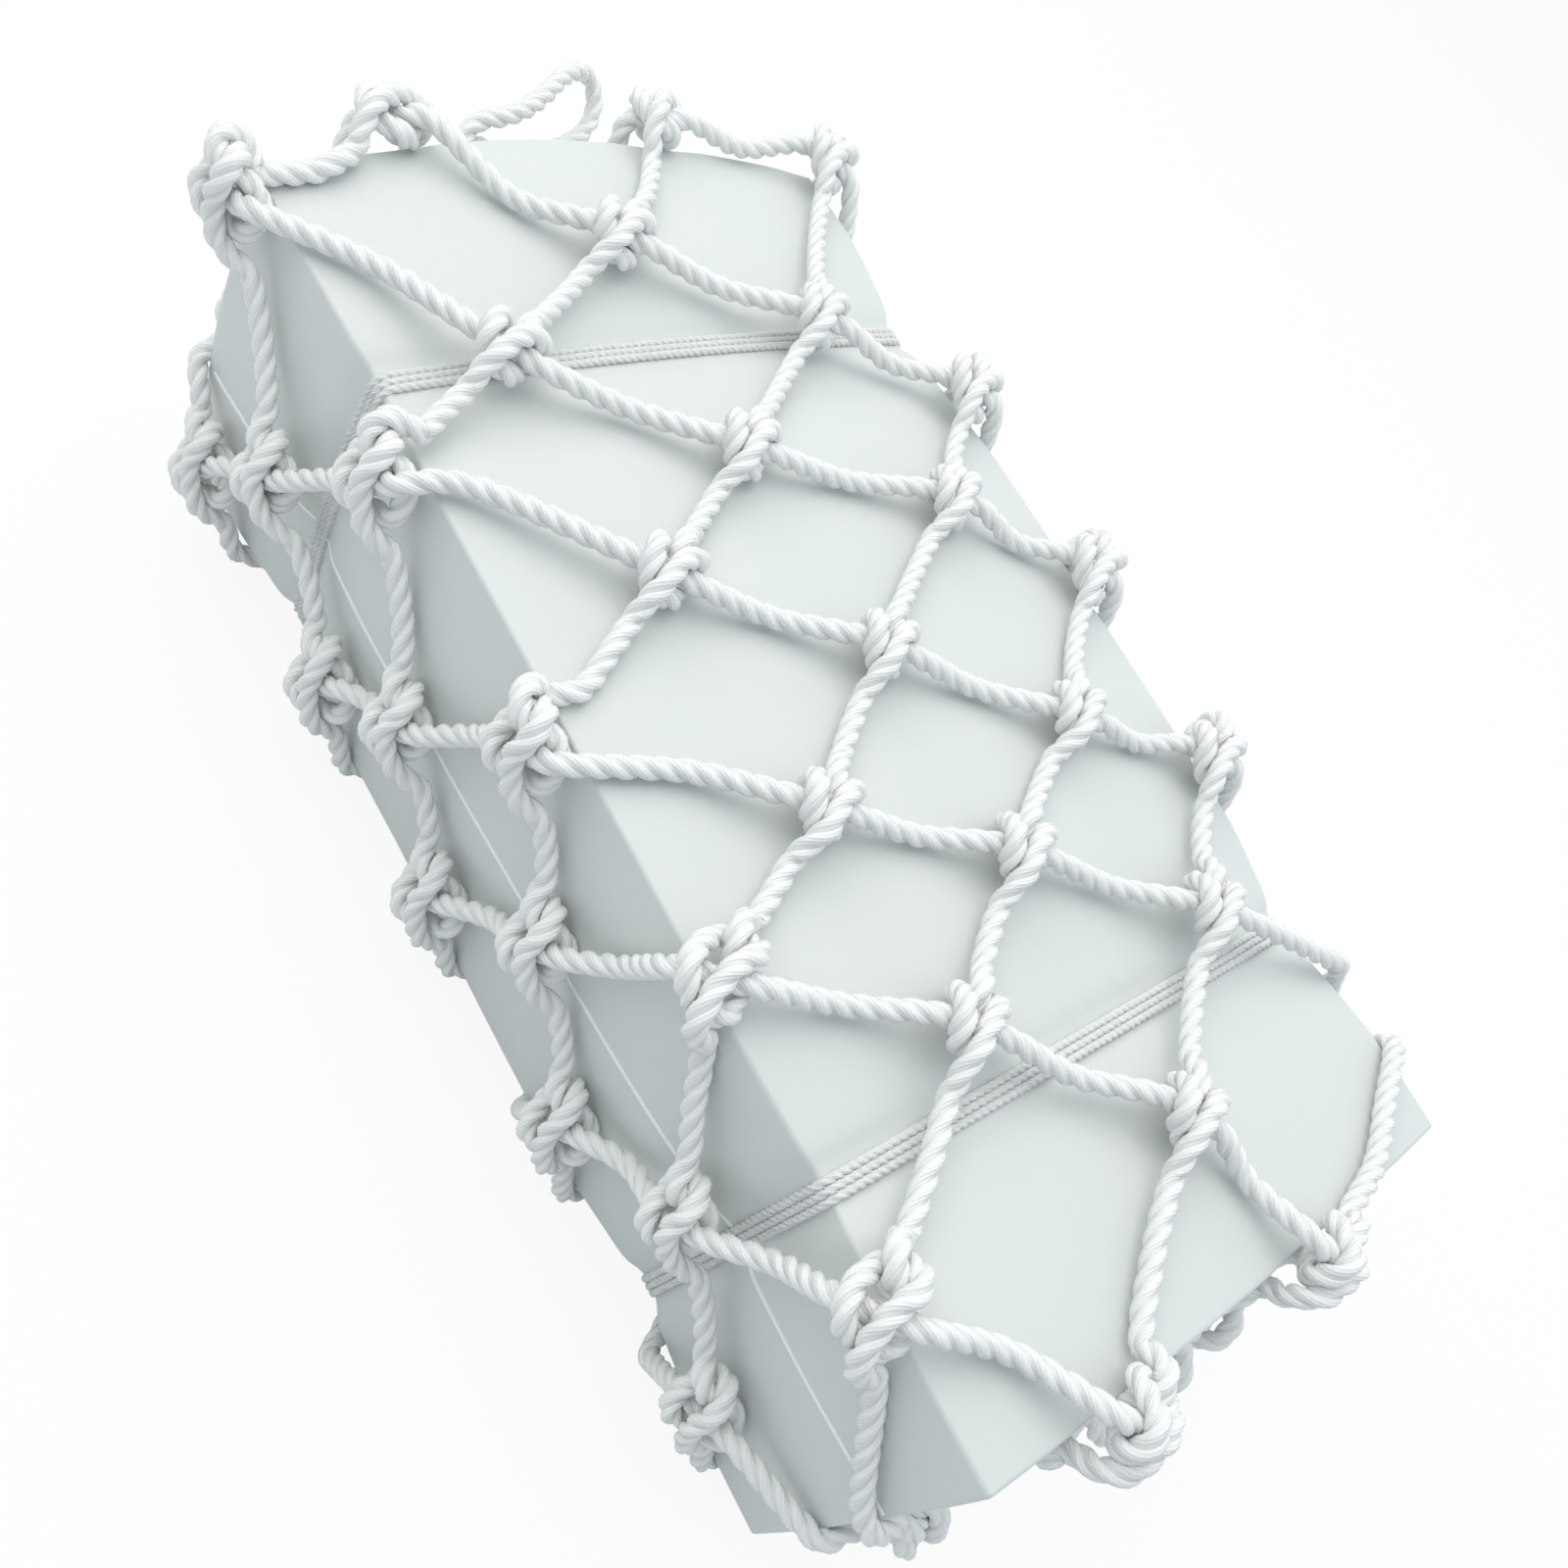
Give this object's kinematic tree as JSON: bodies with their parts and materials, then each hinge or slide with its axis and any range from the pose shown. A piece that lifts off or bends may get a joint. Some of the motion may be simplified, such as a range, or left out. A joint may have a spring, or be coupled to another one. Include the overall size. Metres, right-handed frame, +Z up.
{
  "type": "square boat fender",
  "caption": "Square boat fender: a rectangular foam block in a white cover, bound with thin cord and carried in a knotted rope net with a hanging eye.",
  "frame": {"origin": "on the surface that the fender lies on, under the middle of the block, in the flat of the net knot there", "axes": "+X across the block's width, to the right as the picture's front face is seen with the hanging eye up; +Y along its length towards the hanging eye; +Z up, out of the front face"},
  "size_m": [0.3794, 0.7558, 0.2329],
  "materials": {
    "foam": "matte",
    "cover_fabric": "satin",
    "net_rope": "satin",
    "binding_cord": "satin"
  },
  "bodies": {
    "fender": {"foam_slab_1": "foam", "foam_slab_2": "foam", "foam_slab_3": "foam", "foam_slab_4": "foam", "foam_slab_5": "foam", "foam_slab_6": "foam", "cover_sleeve": "cover_fabric", "end_panel_top": "cover_fabric", "end_panel_bottom": "cover_fabric", "binding_lower": "binding_cord", "binding_upper": "binding_cord", "binding_knot_lower": "binding_cord", "binding_knot_upper": "binding_cord", "net_rope_a1": "net_rope", "net_rope_a2": "net_rope", "net_rope_a3": "net_rope", "net_rope_a4": "net_rope", "net_rope_a5": "net_rope", "net_rope_a6": "net_rope", "net_rope_b1": "net_rope", "net_rope_b2": "net_rope", "net_rope_b3": "net_rope", "net_rope_b4": "net_rope", "net_rope_b5": "net_rope", "net_rope_b6": "net_rope", "gather_ring_top": "net_rope", "gather_ring_bottom": "net_rope"},
    "eye": {"hanging_eye": "net_rope", "eye_seizing": "binding_cord"}
  },
  "joints": [
    {"name": "eye_bend", "type": "hinge", "parent": "fender", "child": "eye", "pos_m": [0, 0.3314, 0.1367], "axis": [1, 0, 0], "range_deg": [-62, 34]}
  ]
}
